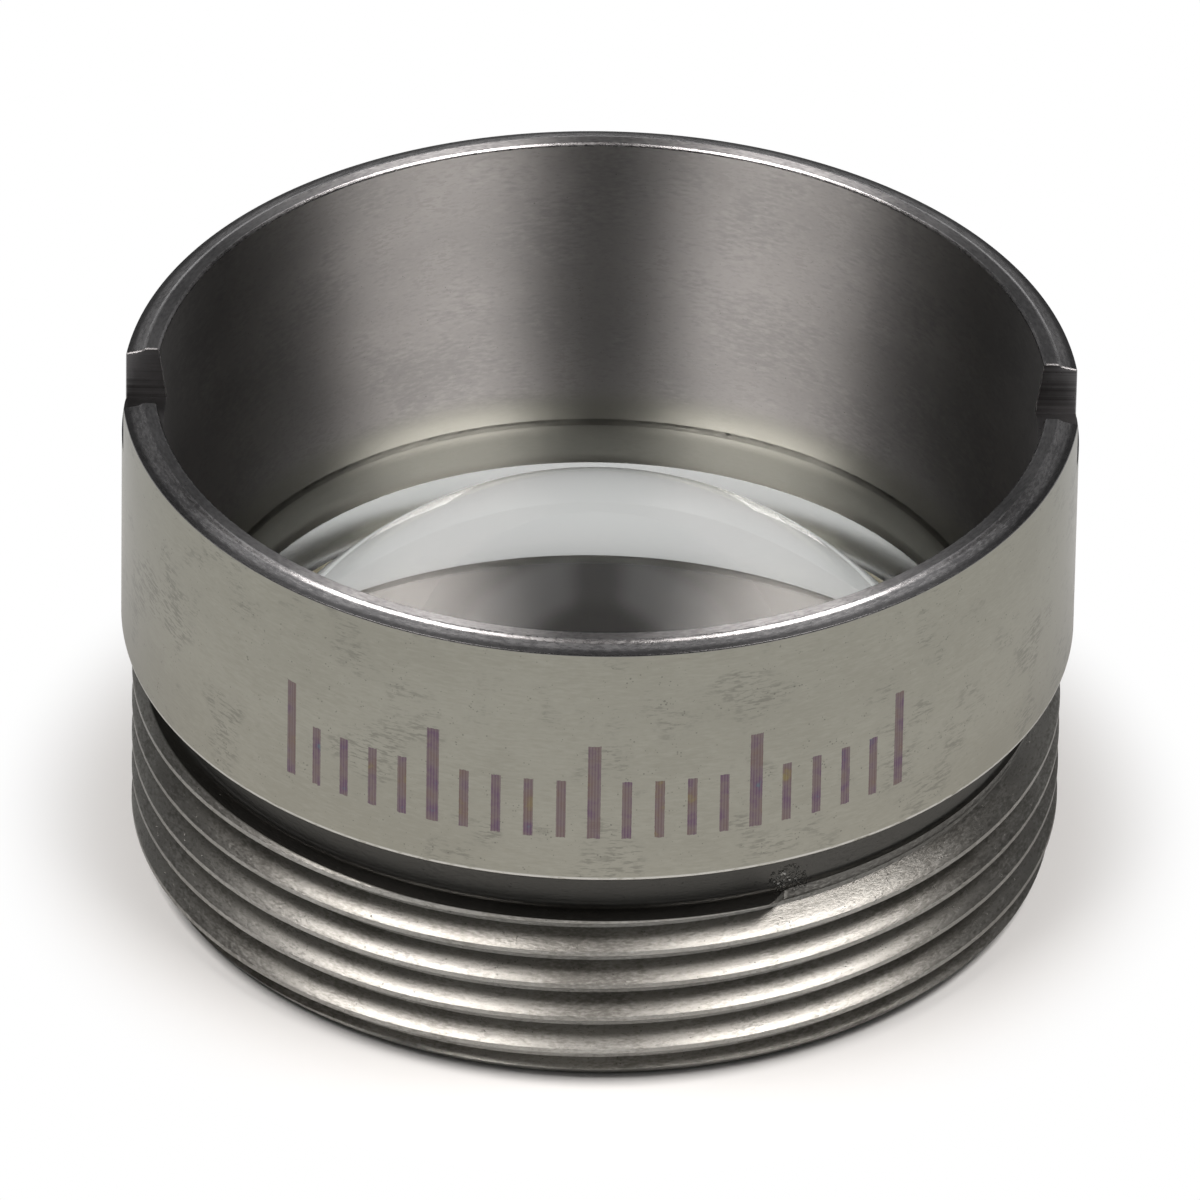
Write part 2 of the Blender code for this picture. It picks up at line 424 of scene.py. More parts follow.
class ShaderGroup:
    """A shader node group built once, with named inputs and outputs."""

    def __init__(self, name: str, inputs: dict[str, float], outputs: Sequence[str]) -> None:
        """Build the group.

        Args:
            name: The group's name.
            inputs: Its number inputs and their values, after its Position.
            outputs: Its outputs, colours where their name ends in Colour.
        """
        self.tree = bpy.data.node_groups.new(name, "ShaderNodeTree")
        face = self.tree.interface
        face.new_socket("Position", in_out="INPUT", socket_type="NodeSocketVector")
        for label, value in inputs.items():
            socket = face.new_socket(label, in_out="INPUT", socket_type="NodeSocketFloat")
            socket.default_value = value
        for label in outputs:
            kind = "NodeSocketColor" if label.endswith("Colour") else "NodeSocketFloat"
            face.new_socket(label, in_out="OUTPUT", socket_type=kind)
        self.source = self.tree.nodes.new("NodeGroupInput")
        self.sink = self.tree.nodes.new("NodeGroupOutput")

    def given(self, name: str) -> Field:
        """The value of a named input."""
        return Field(self.tree, self.source.outputs[name])

    def give(self, name: str, value: Field) -> None:
        """Send a value out."""
        self.tree.links.new(value.socket, self.sink.inputs[name])

    def noise(
        self, vector: Field, scale: Number, detail: float, rough: float, w: Number | None = None
    ) -> Field:
        """Fractal noise.

        Args:
            vector: Where it is read.
            scale: Cells a unit.
            detail: Octaves.
            rough: Share of the finer octaves.
            w: A fourth coordinate, if any.

        Returns:
            The noise, about 0.5.
        """
        node = self.tree.nodes.new("ShaderNodeTexNoise")
        node.noise_dimensions = "3D" if w is None else "4D"
        self.tree.links.new(vector.socket, node.inputs["Vector"])
        feed(self.tree, scale, node.inputs["Scale"])
        node.inputs["Detail"].default_value = detail
        node.inputs["Roughness"].default_value = rough
        if w is not None:
            feed(self.tree, w, node.inputs["W"])
        return Field(self.tree, node.outputs["Fac"])

    def cells(self, vector: Field, scale: Number) -> Field:
        """Scattered cells.

        Args:
            vector: Where they are read.
            scale: Cells a unit.

        Returns:
            Distance to the nearest cell's point, in cell widths.
        """
        node = self.tree.nodes.new("ShaderNodeTexVoronoi")
        self.tree.links.new(vector.socket, node.inputs["Vector"])
        feed(self.tree, scale, node.inputs["Scale"])
        return Field(self.tree, node.outputs["Distance"])


def round_axis(tree: bpy.types.NodeTree, position: Field) -> tuple[Field, Field, Field, Field]:
    """Coordinates of a turned surface.

    Args:
        tree: The tree to add to.
        position: The point.

    Returns:
        Its radius, its height, and its x and y over the radius.
    """
    x, y, z = parts_of(tree, position)
    radius = (x * x + y * y).maths("SQRT")
    safe = radius.most(AXIS_GUARD)
    return radius, z, x / safe, y / safe


def build_turned_lines() -> ShaderGroup:
    """Fine tool lines that run round the axis, with slow changes along them.

    Returns:
        The group, with Height and Tone outputs.
    """
    group = ShaderGroup(
        "turned_lines",
        {"Lines": 30000.0, "Radial Lines": 30000.0, "Dashes": 14.0, "Drift": 900.0},
        ("Height", "Tone"),
    )
    tree, get = group.tree, group.given
    radius, height, east, north = round_axis(tree, get("Position"))
    dashes = get("Dashes")
    along = vector_of(tree, east * dashes, north * dashes, height * get("Lines"))
    fine = group.noise(along, 1.0, 3.0, 0.6, radius * get("Radial Lines"))
    slow = vector_of(tree, east * 2.0, north * 2.0, height * get("Drift"))
    wide = group.noise(slow, 1.0, 3.0, 0.5, radius * get("Drift"))
    group.give("Height", fine)
    group.give("Tone", fine * 0.6 + wide * 0.4)
    return group


def build_specks() -> ShaderGroup:
    """Small scattered pits and dust, and soft blotches between them.

    Returns:
        The group, with Specks and Blotches outputs.
    """
    group = ShaderGroup(
        "specks", {"Scale": 20000.0, "Amount": 0.2, "Blotch Scale": 900.0}, ("Specks", "Blotches")
    )
    position = group.given("Position")
    near = group.cells(position, group.given("Scale"))
    where = group.noise(position, group.given("Scale") * 0.31, 2.0, 0.5)
    size = (where - 0.42).most(0.0) * group.given("Amount") * 4.0
    group.give("Specks", (size - near).most(0.0).ramp(0.0, 0.12))
    group.give("Blotches", group.noise(position, group.given("Blotch Scale"), 5.0, 0.62))
    return group


def build_index_marks() -> ShaderGroup:
    """A plain graduation on the band, annealed by a laser: upright ticks, every fifth one taller.

    Returns:
        The group, with a Mask, a Hatch and a Tint Colour.
    """
    group = ShaderGroup(
        "index_marks",
        {
            "Centre Angle": -90.0, "Half Span": 39.0, "Step": 3.9, "Tick Width": 1.15,
            "Bottom": 0.00392, "Short Top": 0.00478, "Tall Top": 0.00532, "Hatch Pitch": 0.36,
        },
        ("Mask", "Hatch", "Tint Colour"),
    )
    tree, get = group.tree, group.given
    position = get("Position")
    x, y, z = parts_of(tree, position)
    degrees = y.maths("ARCTAN2", x) * (180.0 / math.pi) - get("Centre Angle")
    wobble = group.noise(position, 22000.0, 2.0, 0.6) - 0.5
    soft = degrees + wobble * 0.10
    count = (soft / get("Step")).maths("ROUND")
    off = (soft - count * get("Step")).maths("ABSOLUTE")
    fifth = (count / 5.0 - (count / 5.0).maths("ROUND")).maths("ABSOLUTE")
    tall = (fifth * -1.0 + 0.05).over(0.0)
    half = get("Tick Width") * 0.5 * (tall * 0.35 + 1.0)
    inside = (half - off).over(0.0)
    top = get("Short Top") + (get("Tall Top") - get("Short Top")) * tall
    level = z + wobble * 0.00004
    upright = (level - get("Bottom")).over(0.0) * (top - level).over(0.0)
    span = (get("Half Span") + 0.5 - degrees.maths("ABSOLUTE")).over(0.0)
    radius = (x * x + y * y).maths("SQRT")
    outside = radius.over(0.006)
    mask = inside * upright * span * outside
    hatch = (degrees / get("Hatch Pitch") * math.tau).maths("SINE") * 0.5 + 0.5
    spots = group.noise(position, 2600.0, 3.0, 0.6)
    ramp = tree.nodes.new("ShaderNodeValToRGB")
    tree.links.new(spots.socket, ramp.inputs["Fac"])
    stops = (
        (0.28, (0.085, 0.130, 0.160)),
        (0.36, (0.120, 0.072, 0.118)),
        (0.50, (0.152, 0.112, 0.120)),
        (0.62, (0.150, 0.104, 0.098)),
        (0.72, (0.190, 0.150, 0.072)),
    )
    for place, (at, colour) in enumerate(stops):
        stop = ramp.color_ramp.elements[place] if place < 2 else ramp.color_ramp.elements.new(at)
        stop.position = at
        stop.color = (*colour, 1.0)
    group.give("Mask", mask)
    group.give("Hatch", hatch)
    group.give("Tint Colour", Field(tree, ramp.outputs["Color"]))
    return group


def build_run_out_smudge() -> ShaderGroup:
    """Dark oil and torn metal where the thread runs out into the relief.

    Returns:
        The group, with Smudge and Burr outputs.
    """
    group = ShaderGroup(
        "run_out_smudge",
        {"Centre Angle": -64.3, "Half Angle": 3.0, "Middle": 0.00268, "Half Height": 0.00020},
        ("Smudge", "Burr"),
    )
    tree, get = group.tree, group.given
    position = get("Position")
    x, y, z = parts_of(tree, position)
    degrees = y.maths("ARCTAN2", x) * (180.0 / math.pi)
    along = (degrees - get("Centre Angle")) / get("Half Angle")
    across = (z - get("Middle")) / get("Half Height")
    torn = group.noise(position, 9000.0, 3.0, 0.6) - 0.5
    reach = (along * along + across * across).maths("SQRT") + torn * 1.6
    smudge = reach.ramp(1.0, 0.55)
    chips = group.noise(position, 26000.0, 2.0, 0.6)
    group.give("Smudge", smudge)
    group.give("Burr", smudge * chips.ramp(0.50, 0.62))
    return group


@dataclass
class ShaderLibrary:
    """The groups that the finishes share."""

    lines: ShaderGroup = field(default_factory=build_turned_lines)
    specks: ShaderGroup = field(default_factory=build_specks)
    marks: ShaderGroup = field(default_factory=build_index_marks)
    smudge: ShaderGroup = field(default_factory=build_run_out_smudge)


class MaterialSketch:
    """A material in the making: its tree, its shader and the position that its patterns read."""

    def __init__(self, name: str) -> None:
        """Start a Principled material.

        Args:
            name: The material's name.
        """
        self.material = bpy.data.materials.new(name)
        self.material.use_nodes = True
        self.tree = self.material.node_tree
        self.shader = self.tree.nodes["Principled BSDF"]
        coordinate = self.tree.nodes.new("ShaderNodeTexCoord")
        self.position = Field(self.tree, coordinate.outputs["Object"])

    def place(self, group: ShaderGroup, values: dict[str, float]) -> dict[str, Field]:
        """Put a shared group in the material.

        Args:
            group: The group.
            values: Values of its number inputs.

        Returns:
            Its outputs by name.
        """
        node = self.tree.nodes.new("ShaderNodeGroup")
        node.node_tree = group.tree
        self.tree.links.new(self.position.socket, node.inputs["Position"])
        for label, value in values.items():
            node.inputs[label].default_value = value
        return {out.name: Field(self.tree, out) for out in node.outputs}

    def mix(self, amount: Number, low: object, high: object) -> Field:
        """Mix two colours.

        Args:
            amount: Share of the second.
            low: First colour, a field or a triple.
            high: Second colour, a field or a triple.

        Returns:
            The mixed colour.
        """
        node = self.tree.nodes.new("ShaderNodeMix")
        node.data_type = "RGBA"
        feed(self.tree, amount, node.inputs["Factor"])
        for label, value in (("A", low), ("B", high)):
            socket = next(s for s in node.inputs if s.name == label and s.type == "RGBA")
            if isinstance(value, Field):
                self.tree.links.new(value.socket, socket)
            else:
                socket.default_value = (*value, 1.0)
        result = next(s for s in node.outputs if s.type == "RGBA")
        return Field(self.tree, result)

    def plain(self, **values: object) -> None:
        """Set values on the shader's own sockets, words joined by an underscore."""
        for label, value in values.items():
            self.shader.inputs[label.replace("_", " ")].default_value = value

    def drive(self, label: str, value: Field) -> None:
        """Feed one of the shader's sockets."""
        self.tree.links.new(value.socket, self.shader.inputs[label])

    def relief(self, height: Field, depth: float) -> None:
        """Bump the surface.

        Args:
            height: A height from nought to one.
            depth: What a height of one stands for, in metres.
        """
        node = self.tree.nodes.new("ShaderNodeBump")
        node.inputs["Strength"].default_value = 1.0
        node.inputs["Distance"].default_value = depth
        self.tree.links.new(height.socket, node.inputs["Height"])
        self.tree.links.new(node.outputs["Normal"], self.shader.inputs["Normal"])


@dataclass(frozen=True)
class SteelFinish:
    """Turned or milled stainless steel.

    Attributes:
        name: The material's name.
        light: Colour of its lighter lines.
        dark: Colour of its darker lines.
        rough: Roughness between the lines.
        rough_swing: How far the roughness changes.
        lines: Tool lines a metre up the wall.
        radial_lines: Tool lines a metre outwards.
        dashes: How many pieces a line breaks into along one radius of its length.
        depth: Depth of the lines, in metres.
        anisotropy: How far its highlights stretch across the lines.
        speck_amount: Size of the pits.
        stain: How dark the patches of short dark dashes are.
        marked: Whether it carries the graduation.
        edge_shade: How dark the painted shade on the rim's outer edge is.
        foot_shade: How dark the painted shade at the cup's foot is, which also greens it.
        root_shade: How dark the painted shade in the thread's roots is.
        relief_shade: How dark the painted shade in the relief is.
        edge_band: Radii between which the painted shade on the rim's outer edge sets in.
        foot_band: Heights between which the painted shade at the cup's foot sets in.
        root_band: Radii between which the painted shade in the roots sets in.
        relief_band: Heights between which the painted shade in the relief sets in.
        stub_inside: Radii between which the darkening on the last ridge's torn stub begins.
        stub_outside: Radii between which it ends.
        stub_foot: Heights between which it begins.
        lip_highlight_band: Heights between which the painted highlight along the band's lower lip
            sets in.
        corner_shade_band: Heights between which the painted shade on the chamfer under the lip
            sets in.
    """

    name: str
    light: tuple[float, float, float]
    dark: tuple[float, float, float]
    rough: float
    rough_swing: float = 0.1
    lines: float = 30000.0
    radial_lines: float = 30000.0
    dashes: float = 14.0
    depth: float = 0.0003 * MM
    anisotropy: float = 0.5
    speck_amount: float = 0.2
    stain: float = 0.0
    marked: bool = False
    edge_shade: float = 0.0
    foot_shade: float = 0.0
    root_shade: float = 0.0
    relief_shade: float = 0.93
    edge_band: Point = (5.99 * MM, 6.07 * MM)
    foot_band: Point = (3.36 * MM, 2.98 * MM)
    root_band: Point = (5.90 * MM, 5.70 * MM)
    relief_band: Point = (2.545 * MM, 2.562 * MM)
    stub_inside: Point = (5.715 * MM, 5.725 * MM)
    stub_outside: Point = (5.750 * MM, 5.740 * MM)
    stub_foot: Point = (2.360 * MM, 2.410 * MM)
    lip_highlight_band: Point = (3.330 * MM, 3.314 * MM)
    corner_shade_band: Point = (3.292 * MM, 3.286 * MM)

    def make(self, library: ShaderLibrary) -> bpy.types.Material:
        """Build the material.

        Args:
            library: The shared groups.

        Returns:
            The material.
        """
        sketch = MaterialSketch(self.name)
        lines = sketch.place(library.lines, {
            "Lines": self.lines, "Radial Lines": self.radial_lines, "Dashes": self.dashes,
        })
        specks = sketch.place(library.specks, {"Amount": self.speck_amount})
        pit_and_shade = tuple(PIT_AND_SHADE_TONE * value for value in self.dark)
        tone = lines["Tone"] * LINE_SHARE + specks["Blotches"] * (1.0 - LINE_SHARE)
        colour = sketch.mix(tone.ramp(0.38, 0.62), self.dark, self.light)
        if self.stain:
            patch = specks["Blotches"].ramp(0.46, 0.62) * lines["Height"].ramp(0.45, 0.60)
            colour = sketch.mix(patch * self.stain, colour, pit_and_shade)
        colour = sketch.mix(specks["Specks"] * PIT_SHARE, colour, pit_and_shade)
        rough = (lines["Tone"] - 0.5) * self.rough_swing + self.rough
        height = lines["Height"] - specks["Specks"] * PIT_DEPTH
        radius, height_up, _, _ = round_axis(sketch.tree, sketch.position)
        # Painted shade darkens the rim's outer edge.
        if self.edge_shade:
            edge = radius.ramp(*self.edge_band) * self.edge_shade
            colour = sketch.mix(edge, colour, pit_and_shade)
        # Painted shade: the cup's wall darkens and greens towards its foot, which tones down the
        # highlight there.
        if self.foot_shade:
            foot = height_up.ramp(*self.foot_band) * self.foot_shade
            colour = sketch.mix(foot, colour, FOOT_SHADE_TONE)
        # Painted shade in the thread's roots and the relief, darkening on the last ridge's stub,
        # and the oil smudge and bright burr where the thread runs out.
        if self.root_shade:
            smudge = sketch.place(library.smudge, {})
            hollow_shade_and_stub = self.hollow_shade_and_stub(radius, height_up, lines["Height"])
            colour = sketch.mix(hollow_shade_and_stub.most(smudge["Smudge"] * 0.85), colour, pit_and_shade)
            colour = sketch.mix(smudge["Burr"] * 0.7, colour, self.light)
            height = height + smudge["Burr"] * 8.0
        if self.marked:
            marks = sketch.place(library.marks, {})
            amount = marks["Mask"] * (marks["Hatch"] * 0.22 + 0.76)
            colour = sketch.mix(amount, colour, marks["Tint Colour"])
            rough = rough + marks["Mask"] * 0.06
            # Painted highlight along the band's lower lip, and painted shade on the chamfer under
            # it.
            lip_highlight = height_up.ramp(*self.lip_highlight_band) * lines["Height"].ramp(0.30, 0.50)
            colour = sketch.mix(lip_highlight, colour, LIP_HIGHLIGHT)
            colour = sketch.mix(height_up.ramp(*self.corner_shade_band) * 0.8, colour, pit_and_shade)
        sketch.drive("Base Color", colour)
        sketch.drive("Roughness", rough.within(0.08, 0.8))
        sketch.plain(
            Metallic=1.0, Anisotropic=self.anisotropy, Anisotropic_Rotation=0.25,
            Specular_Tint=(*EDGE_TINT, 1.0),
        )
        sketch.relief(height, self.depth)
        return sketch.material

    def hollow_shade_and_stub(self, radius: Field, height: Field, grain: Field) -> Field:
        """Painted shade in the thread's roots and in the relief, and darkening on the last ridge's
        stub.

        Args:
            radius: Distance from the axis.
            height: Height over the end face.
            grain: Height of the tool lines.

        Returns:
            How dark it is.
        """
        roots = radius.ramp(*self.root_band) * self.root_shade
        relief = height.ramp(*self.relief_band) * self.relief_shade
        stub = radius.ramp(*self.stub_inside) * radius.ramp(*self.stub_outside)
        stub = stub * height.ramp(*self.stub_foot)
        stub = stub * (grain.ramp(0.72, 0.40) * 0.45 + 0.35)
        return roots.most(relief).most(stub)


@dataclass(frozen=True)
class GlassFinish:
    """Polished moulded glass, frosted at its ground edge.

    Attributes:
        name: The material's name.
        index: Its index of refraction.
        ground_edge: Radii between which the ground edge sets in.
        edge_rough: Roughness of the ground edge.
        light: Colour of its clearer parts.
        dark: Colour of its dustier parts.
    """

    name: str = "polished_glass"
    index: float = 1.589
    ground_edge: Point = (4.925 * MM, 4.950 * MM)
    edge_rough: float = 0.20
    light: tuple[float, float, float] = (0.985, 0.990, 0.980)
    dark: tuple[float, float, float] = (0.955, 0.975, 0.955)

    def make(self, library: ShaderLibrary) -> bpy.types.Material:
        """Build the material.

        Args:
            library: The shared groups.

        Returns:
            The material.
        """
        sketch = MaterialSketch(self.name)
        dust = sketch.place(
            library.specks, {"Scale": 5200.0, "Amount": 0.07, "Blotch Scale": 420.0}
        )
        radius, _, _, _ = round_axis(sketch.tree, sketch.position)
        edge = radius.ramp(*self.ground_edge) * self.edge_rough
        tint = sketch.mix(dust["Blotches"].ramp(0.3, 0.7), self.dark, self.light)
        sketch.drive("Base Color", tint)
        sketch.drive("Roughness", edge + dust["Specks"] * 0.25)
        sketch.plain(Metallic=0.0, Transmission_Weight=1.0, IOR=self.index)
        return sketch.material


@dataclass(frozen=True)
class AdhesiveFinish:
    """Cured amber adhesive with a slightly uneven skin.

    Attributes:
        name: The material's name.
        light: Colour of its lighter parts.
        dark: Colour of its darker parts.
        depth: Depth of the unevenness, in metres.
    """

    name: str = "cured_adhesive_skin"
    light: tuple[float, float, float] = (0.78, 0.72, 0.56)
    dark: tuple[float, float, float] = (0.60, 0.53, 0.36)
    depth: float = 0.004 * MM

    def make(self, library: ShaderLibrary) -> bpy.types.Material:
        """Build the material.

        Args:
            library: The shared groups.

        Returns:
            The material.
        """
        sketch = MaterialSketch(self.name)
        skin = sketch.place(library.specks, {"Scale": 14000.0, "Amount": 0.1})
        colour = sketch.mix(skin["Blotches"].ramp(0.35, 0.65), self.dark, self.light)
        sketch.drive("Base Color", colour)
        sketch.drive("Roughness", skin["Blotches"] * 0.3 + 0.2)
        sketch.plain(Metallic=0.0)
        sketch.relief(skin["Blotches"], self.depth)
        return sketch.material


# Meshes


def line_mesh(name: str, points: Iterable[tuple[float, float, float]]) -> bpy.types.Mesh:
    """A mesh of loose points, which a lathe reads as its section.

    Args:
        name: Its name.
        points: Radius, surface flag and height of each.

    Returns:
        The mesh.
    """
    mesh = bpy.data.meshes.new(name)
    mesh.from_pydata(list(points), [], [])
    return mesh


def rounded(before: Point, corner: Point, after: Point, radius: float, steps: int) -> list[Point]:
    """Round one corner of a section.

    Args:
        before: The point before it.
        corner: The corner.
        after: The point after it.
        radius: The rounding's distance from the corner along each side.
        steps: Faces across the rounding.

    Returns:
        The points that stand for the corner.
    """
    here = Vector(corner)
    start = here + (Vector(before) - here).normalized() * radius
    end = here + (Vector(after) - here).normalized() * radius
    points = []
    for step in range(steps + 1):
        t = step / steps
        point = start * (1.0 - t) ** 2 + here * (2.0 * t * (1.0 - t)) + end * t ** 2
        points.append((point.x, point.y))
    return points


def rounded_section(
    corners: Sequence[tuple[float, float, float]], steps: int
) -> list[Point]:
    """Round every corner of an open section and add a guard line on both sides of each rounding.

    Args:
        corners: Radius, height and rounding of each corner.
        steps: Faces across a rounding.

    Returns:
        The section's points.
    """
    points: list[Point] = [corners[0][:2]]
    for place in range(1, len(corners) - 1):
        before, corner, after = corners[place - 1], corners[place], corners[place + 1]
        radius = corner[2]
        if radius <= 0.0:
            points.append(corner[:2])
            continue
        bend = rounded(before[:2], corner[:2], after[:2], radius, steps)
        here, guard = Vector(corner[:2]), radius * GUARD_SHARE
        lead = Vector(bend[0]) + (Vector(before[:2]) - here).normalized() * guard
        trail = Vector(bend[-1]) + (Vector(after[:2]) - here).normalized() * guard
        points.extend([(lead.x, lead.y), *bend, (trail.x, trail.y)])
    points.append(corners[-1][:2])
    return points


def tidy_mesh(mesh: bpy.types.Mesh) -> bpy.types.Mesh:
    """Weld a mesh, point its faces outwards and shade it smooth between its sharp edges.

    Args:
        mesh: The mesh.

    Returns:
        The same mesh.
    """
    work = bmesh.new()
    work.from_mesh(mesh)
    bmesh.ops.remove_doubles(work, verts=work.verts[:], dist=WELD)
    bmesh.ops.dissolve_degenerate(work, dist=WELD, edges=work.edges[:])
    bmesh.ops.recalc_face_normals(work, faces=work.faces[:])
    open_edges = sum(1 for edge in work.edges if len(edge.link_faces) != 2)
    work.to_mesh(mesh)
    work.free()
    mesh.shade_smooth()
    mesh.set_sharp_from_angle(angle=SHARP_ANGLE)
    LOG.info("%s: %d faces, %d open edges", mesh.name, len(mesh.polygons), open_edges)
    return mesh


def add_piece(name: str, mesh: bpy.types.Mesh, node: str) -> bpy.types.Object:
    """Put a finished mesh in the scene in place of its CAD node.

    Args:
        name: The piece's name.
        mesh: Its mesh.
        node: The CAD node that it stands for.

    Returns:
        The piece.
    """
    piece = bpy.data.objects.new(name, mesh)
    bpy.context.scene.collection.objects.link(piece)
    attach(piece, BODY)
    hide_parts(node)
    LOG.info("%s replaces %s", name, node)
    return piece


# The housing


class Zone(Enum):
    """Parts of the housing that are finished differently, by material index."""

    BAND = 0
    CUP = 1
    THREAD = 2
    RIM = 3
    SLOT = 4
    LAND = 5


def steel_finishes() -> dict[Zone, SteelFinish]:
    """The housing's finishes.

    Returns:
        The finish of each zone.
    """
    return {
        Zone.BAND: SteelFinish(
            "satin_steel", (0.310, 0.301, 0.257), (0.264, 0.255, 0.215), 0.30, 0.14,
            lines=32000.0, dashes=40.0, depth=0.0003 * MM, anisotropy=0.45,
            speck_amount=0.28, stain=0.46, marked=True,
        ),
        Zone.CUP: SteelFinish(
            "cup_steel", (0.405, 0.392, 0.384), (0.305, 0.297, 0.294), 0.46, 0.12,
            lines=26000.0, dashes=44.0, depth=0.0003 * MM, anisotropy=1.0,
            speck_amount=0.18, stain=0.24, foot_shade=0.80,
        ),
        Zone.THREAD: SteelFinish(
            "thread_steel", (0.390, 0.382, 0.360), (0.185, 0.178, 0.163), 0.38, 0.34,
            lines=34000.0, radial_lines=34000.0, dashes=75.0, depth=0.0046 * MM,
            anisotropy=0.50, speck_amount=0.26, stain=0.50, root_shade=0.08,
        ),
        Zone.RIM: SteelFinish(
            "rim_steel", (0.50, 0.49, 0.495), (0.23, 0.225, 0.23), 0.27, 0.20,
            lines=36000.0, radial_lines=36000.0, dashes=60.0, depth=0.0010 * MM,
            anisotropy=0.5, speck_amount=0.30, edge_shade=0.80,
        ),
        Zone.SLOT: SteelFinish(
            "milled_steel", (0.27, 0.265, 0.27), (0.095, 0.092, 0.092), 0.36, 0.20,
            lines=20000.0, radial_lines=0.0, dashes=6.0, depth=0.0020 * MM,
            anisotropy=0.4, speck_amount=0.26, stain=0.3,
        ),
        Zone.LAND: SteelFinish(
            "land_steel", (0.46, 0.45, 0.455), (0.24, 0.235, 0.24), 0.42, 0.16,
            lines=36000.0, radial_lines=36000.0, dashes=60.0, depth=0.0010 * MM,
            anisotropy=1.0, speck_amount=0.30,
        ),
    }


@dataclass
class Housing:
    """The turned, threaded and slotted steel housing.

    Attributes:
        columns: Steps round the axis.
        root_half: Half the flat at the bottom of the thread's groove.
        groove_height: Height of the first groove's middle on the +X side.
        last_groove: Pitches from there up to the last groove on the same side.
        ridge_radius: What is left of the last ridge where it is torn away.
        ridge_end: Where that begins, in turns from +X.
        ridge_taper: Over how many turns it falls away.
        rim_bevel: Width and drop of the rim's bevel.
        rim_step: Width and drop of the small step at the bevel's inner side.
        rim_edge: Width and drop of the crisp edge at its outer side.
        slot_break: Width of the broken edges along the slots.
        band_rows: Heights of extra rows on the band, as are those of the cup and the bore.
        small_round: The rounding of an edge that has no size of its own.
        corner_steps: Faces across a rounding.
    """

    columns: int = 360
    pitch: float = 0.50 * MM
    thread_length: float = 2.56 * MM
    crest_radius: float = 5.977 * MM
    root_radius: float = 5.69 * MM
    root_half: float = 0.0417 * MM
    flank_angle: float = math.radians(30.0)
    end_chamfer: float = 0.317 * MM
    groove_height: float = 0.420625 * MM
    rows_a_pitch: int = 16
    collar_rows: int = 5
    relief_radius: float = 5.67 * MM
    corner_radius: float = 0.08 * MM
    last_groove: float = 4.0
    ridge_radius: float = 5.735 * MM
    ridge_end: float = 0.812
    ridge_taper: float = 0.008
    shoulder: float = 3.25 * MM
    band_radius: float = 6.12 * MM
    rim_height: float = 6.78 * MM
    rim_bevel: Point = (0.25 * MM, 0.095 * MM)
    rim_step: Point = (0.055 * MM, 0.036 * MM)
    rim_edge: Point = (0.006 * MM, 0.080 * MM)
    cup_mouth: float = 5.69 * MM
    inner_break: float = 0.03 * MM
    cup_floor: Point = (5.19 * MM, 3.02 * MM)
    seat_bore: float = 4.99 * MM
    seat_bore_top: float = 2.82 * MM
    ledge: float = 0.40 * MM
    aperture: float = 4.37 * MM
    aperture_break: float = 0.05 * MM
    band_break: float = 0.04 * MM
    slot_half: float = 0.63 * MM
    slot_floor: float = 6.03 * MM
    slot_break: float = 0.014 * MM
    band_rows: Point = (4.2 * MM, 5.1 * MM)
    cup_rows: Point = (5.1 * MM, 4.0 * MM)
    bore_rows: Point = (2.34 * MM, 1.3 * MM)
    small_round: float = 0.012 * MM
    edge_round: float = 0.004 * MM
    bevel_round: float = 0.005 * MM
    land_round: float = 0.020 * MM
    mouth_round: float = 0.010 * MM
    cup_foot_round: float = 0.160 * MM
    bore_round: float = 0.090 * MM
    corner_steps: int = 3

    def section(self) -> list[Point]:
        """Section of all but the thread: from the relief up over the rim and down to the end face.

        Returns:
            Its points, outside first.
        """
        top, band, small = self.rim_height, self.band_radius, self.small_round
        bevel_in, bevel_drop = self.rim_bevel
        relief, corner = self.relief_radius, self.corner_radius
        start = self.thread_length + corner
        under_slot = self.slot_floor - self.slot_break
        clear_of_slot = self.slot_floor - 3.0 * self.slot_break
        slot_rows = (self.slot_floor, under_slot, clear_of_slot)
        corners = [
            (relief, start, 0.0),
            (relief, 0.5 * (start + self.shoulder), 0.0),
            (relief, self.shoulder, corner),
            (band - self.band_break, self.shoulder, small),
            (band, self.shoulder + self.band_break, small),
            *((band, height, 0.0) for height in (*self.band_rows, *slot_rows[::-1])),
            (band, top - bevel_drop, self.bevel_round),
            (band - self.rim_edge[0], top - self.rim_edge[1], self.edge_round),
            (band - bevel_in + self.rim_step[0], top - self.rim_step[1], small),
            (band - bevel_in, top, self.land_round),
            (self.cup_mouth + self.inner_break, top, self.mouth_round),
            (self.cup_mouth, top - self.inner_break, self.mouth_round),
            *((self.at_cup(height), height, 0.0) for height in (*slot_rows, *self.cup_rows)),
            (*self.cup_floor, self.cup_foot_round),
            (self.seat_bore, self.seat_bore_top, self.bore_round),
            *((self.seat_bore, height, 0.0) for height in (*self.bore_rows, self.ledge)),
            (self.aperture, self.ledge, small),
            (self.aperture, self.aperture_break, small),
            (self.aperture + self.aperture_break, 0.0, small),
            (self.crest_radius - self.end_chamfer, 0.0, 0.0),
        ]
        return rounded_section(corners, self.corner_steps)

    def at_cup(self, height: float) -> float:
        """Radius of the cup's wall.

        Args:
            height: Where it is asked for.

        Returns:
            The radius.
        """
        top = self.rim_height - self.inner_break
        share = (height - self.cup_floor[1]) / (top - self.cup_floor[1])
        return self.cup_floor[0] + (self.cup_mouth - self.cup_floor[0]) * share

